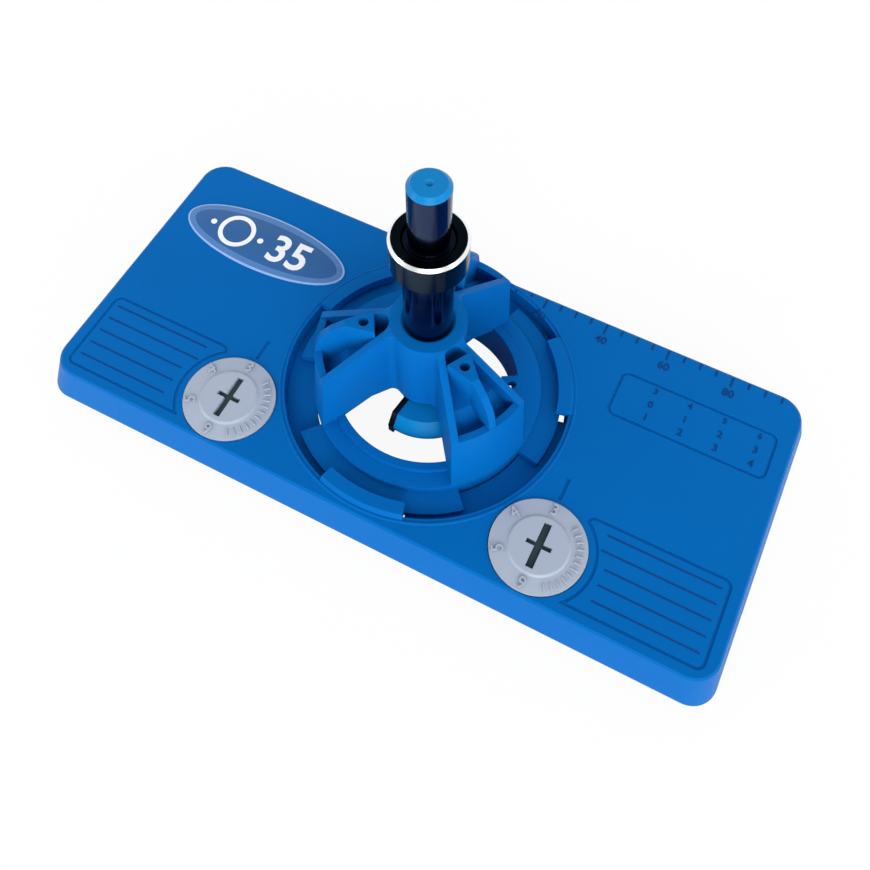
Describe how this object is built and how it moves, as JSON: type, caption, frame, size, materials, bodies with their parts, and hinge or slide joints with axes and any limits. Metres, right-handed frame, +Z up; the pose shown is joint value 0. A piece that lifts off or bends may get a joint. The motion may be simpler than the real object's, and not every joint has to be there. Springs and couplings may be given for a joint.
{
  "type": "hinge drilling jig",
  "caption": "Flat blue drilling jig for concealed hinge cups, with a twist-lock guide tower, a 35 mm cutter on a shank with a depth stop, and setback dials with cams.",
  "frame": {"origin": "on the drill guide's axis, at the level of the bench that the jig stands on, which is the underside of the two setback cams", "axes": "+X along the plate towards its ruler end, +Y from the setback dials to the plate's rear edge, +Z up along the drill"},
  "size_m": [0.2124, 0.0964, 0.0987],
  "materials": {
    "blue_plastic": "satin",
    "pale_plastic": "satin",
    "badge_film": "gloss",
    "black_steel": "gloss",
    "carbide": "ground",
    "screw_steel": "zinc"
  },
  "bodies": {
    "plate": {"base_plate": "blue_plastic", "badge": "badge_film"},
    "guide": {"drill_guide": "blue_plastic"},
    "feed": {"centre_point": "carbide"},
    "bit": {"bit_body": "black_steel", "cutting_edge_front": "carbide", "cutting_edge_rear": "carbide", "rim_spur_front": "carbide", "rim_spur_rear": "carbide", "stop_collar": "black_steel", "collar_set_screw": "screw_steel"},
    "dial_left": {"setback_dial_left": "pale_plastic", "setback_cam_left": "pale_plastic", "spring_washer_left": "screw_steel", "cam_screw_left": "screw_steel"},
    "dial_right": {"setback_dial_right": "pale_plastic", "setback_cam_right": "pale_plastic", "spring_washer_right": "screw_steel", "cam_screw_right": "screw_steel"}
  },
  "joints": [
    {"name": "guide_turn", "type": "hinge", "parent": "plate", "child": "guide", "pos_m": [0, 0, 0.0163], "axis": [0, 0, 1], "range_deg": [0, 60]},
    {"name": "bit_feed", "type": "slide", "parent": "guide", "child": "feed", "axis": [0, 0, 1], "range_m": [-0.024, 0.0012]},
    {"name": "bit_spin", "type": "hinge", "parent": "feed", "child": "bit", "pos_m": [0, 0, 0.05], "axis": [0, 0, 1], "continuous": true},
    {"name": "dial_left_turn", "type": "hinge", "parent": "plate", "child": "dial_left", "pos_m": [-0.0487, -0.0309, 0.0163], "axis": [0, 0, 1], "range_deg": [-180, 0]},
    {"name": "dial_right_turn", "type": "hinge", "parent": "plate", "child": "dial_right", "pos_m": [0.0487, -0.0309, 0.0163], "axis": [0, 0, 1], "range_deg": [-180, 0]}
  ]
}
